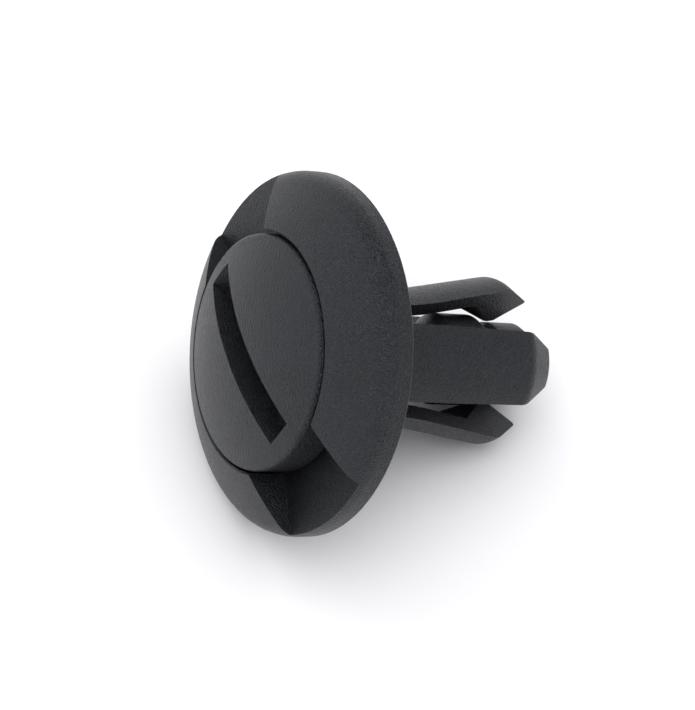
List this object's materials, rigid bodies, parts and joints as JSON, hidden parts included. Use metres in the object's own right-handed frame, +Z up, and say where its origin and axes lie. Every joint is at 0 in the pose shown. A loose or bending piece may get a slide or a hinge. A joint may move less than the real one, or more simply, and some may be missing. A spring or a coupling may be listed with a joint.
{
  "type": "push rivet",
  "caption": "Plastic push rivet: domed round flange with two prying notches, slotted centre pin that slides in it, and sprung legs spread behind the panel.",
  "frame": {"origin": "bottom centre of the bounding box of the rivet lying as it comes to rest, on the flange's edge and two legs", "axes": "+Z up from the table; the rivet's own axis lies in the XZ plane and runs from the head at -X to the tips of the legs at +X, sloping down towards the tips"},
  "size_m": [0.0204, 0.02, 0.0186],
  "materials": {
    "grommet_plastic": "fine grain, near black",
    "pin_plastic": "fine grain, near black"
  },
  "bodies": {
    "grommet": {"grommet": "grommet_plastic"},
    "pin": {"pin": "pin_plastic"}
  },
  "joints": [
    {"name": "pin_slide", "type": "slide", "parent": "grommet", "child": "pin", "axis": [-0.9123, 0, 0.4095], "range_m": [0, 0.005]}
  ]
}
